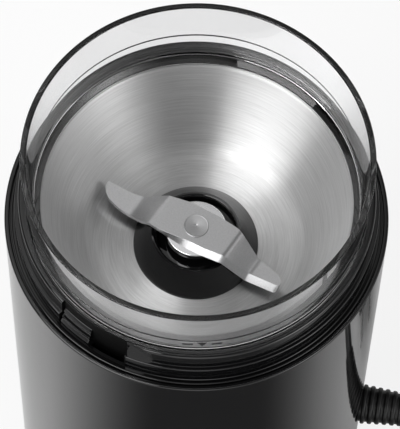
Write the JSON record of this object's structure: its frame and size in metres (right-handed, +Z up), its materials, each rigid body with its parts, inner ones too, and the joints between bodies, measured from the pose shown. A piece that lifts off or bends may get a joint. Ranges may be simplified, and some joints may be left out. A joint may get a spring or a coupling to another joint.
{
  "type": "electric spice grinder",
  "caption": "Small electric blade grinder for spices: black cylindrical motor base, lift-out steel bowl with a smoky clear collar, two-arm blade, lid interlock slot and mains cord.",
  "frame": {"origin": "on the table, on the body's vertical axis", "axes": "+Z up along the cup's axis, +X in the direction the cord leaves"},
  "size_m": [0.2794, 0.104, 0.185],
  "materials": {
    "black_gloss": "high gloss",
    "black_satin": "satin",
    "screw_steel": "zinc plated",
    "grey_rubber": "matt",
    "black_rubber": "matt",
    "cast_alloy": "as cast",
    "lamination": "varnished sheet",
    "copper": "enamelled copper",
    "brown_moulding": "phenolic",
    "brass": "plain",
    "carbon": "carbon",
    "bronze": "sintered bronze",
    "yellow_moulding": "moulded",
    "lead_insulation": "insulation",
    "cord_black": "satin",
    "polished_steel": "polished",
    "grey_moulding": "nylon",
    "brushed_bowl": "spun, brushed in rings",
    "smoke_clear": "clear tinted plastic",
    "blade_steel": "satin with ground edges",
    "red_moulding": "moulded"
  },
  "bodies": {
    "housing": {"outer_sleeve": "black_gloss", "top_ring": "black_gloss", "cup_well": "black_satin", "ring_screws": "screw_steel", "base_cover": "black_satin", "base_screws": "screw_steel", "rubber_feet": "grey_rubber", "upper_bracket": "cast_alloy", "lower_bracket": "cast_alloy", "motor_bolts": "screw_steel", "bolt_nuts": "screw_steel", "motor_grommets": "black_rubber", "motor_screws": "screw_steel", "stator_core": "lamination", "field_coils": "copper", "brush_plate": "brown_moulding", "brush_holders": "brass", "carbon_brushes": "carbon", "brush_springs": "screw_steel", "brush_caps": "brown_moulding", "upper_bearing": "bronze", "lower_bearing": "bronze", "shaft_seal": "black_rubber", "suppression_capacitor": "yellow_moulding", "inner_leads": "lead_insulation", "switch_bracket": "black_satin", "switch_case": "black_satin", "switch_terminals": "brass", "switch_screws": "screw_steel", "interlock_spring": "screw_steel", "cord_boot": "cord_black", "cord_clamp": "black_satin", "clamp_screws": "screw_steel", "cord_lead": "cord_black", "cord_coil": "cord_black", "cord_tie": "black_satin", "cord_tail": "cord_black", "plug_body": "cord_black", "plug_blades": "brass"},
    "rotor": {"motor_shaft": "polished_steel", "rotor_core": "lamination", "rotor_windings": "copper", "commutator": "copper", "cooling_fan": "grey_moulding", "drive_coupling": "grey_moulding"},
    "cup": {"steel_bowl": "brushed_bowl", "bowl_gasket": "black_rubber", "clear_collar": "smoke_clear", "cup_base": "black_satin", "dome_seal": "black_gloss", "cup_bearing": "bronze"},
    "spindle": {"grinding_blade": "blade_steel", "blade_shaft": "polished_steel", "blade_hub": "polished_steel", "cup_coupling": "grey_moulding"},
    "plunger": {"interlock_plunger": "grey_moulding"},
    "lever": {"switch_lever": "screw_steel"},
    "button": {"switch_button": "red_moulding"}
  },
  "joints": [
    {"name": "rotor_spin", "type": "hinge", "parent": "housing", "child": "rotor", "pos_m": [0, 0, 0.06], "axis": [0, 0, 1], "continuous": true},
    {"name": "cup_lift", "type": "slide", "parent": "housing", "child": "cup", "axis": [0, 0, 1], "range_m": [0, 0.08]},
    {"name": "spindle_spin", "type": "hinge", "parent": "cup", "child": "spindle", "pos_m": [0, 0, 0.13], "axis": [0, 0, 1], "continuous": true},
    {"name": "plunger_press", "type": "slide", "parent": "housing", "child": "plunger", "axis": [0, 0, -1], "range_m": [0, 0.0035], "stiffness_N_per_m": 400, "springref_m": -0.003, "deforming": ["interlock_spring"]},
    {"name": "lever_swing", "type": "hinge", "parent": "housing", "child": "lever", "pos_m": [0.00715, -0.04258, 0.1066], "axis": [-0.36, -0.933, 0], "range_deg": [0, 8.5]},
    {"name": "button_press", "type": "slide", "parent": "housing", "child": "button", "axis": [0, 0, -1], "range_m": [0, 0.0013]}
  ],
  "couplings": [
    {"joint": "spindle_spin", "follows": "rotor_spin", "ratio": 1},
    {"joint": "lever_swing", "follows": "plunger_press", "rad_per_m": 41.2},
    {"joint": "button_press", "follows": "plunger_press", "ratio": 0.3333}
  ]
}
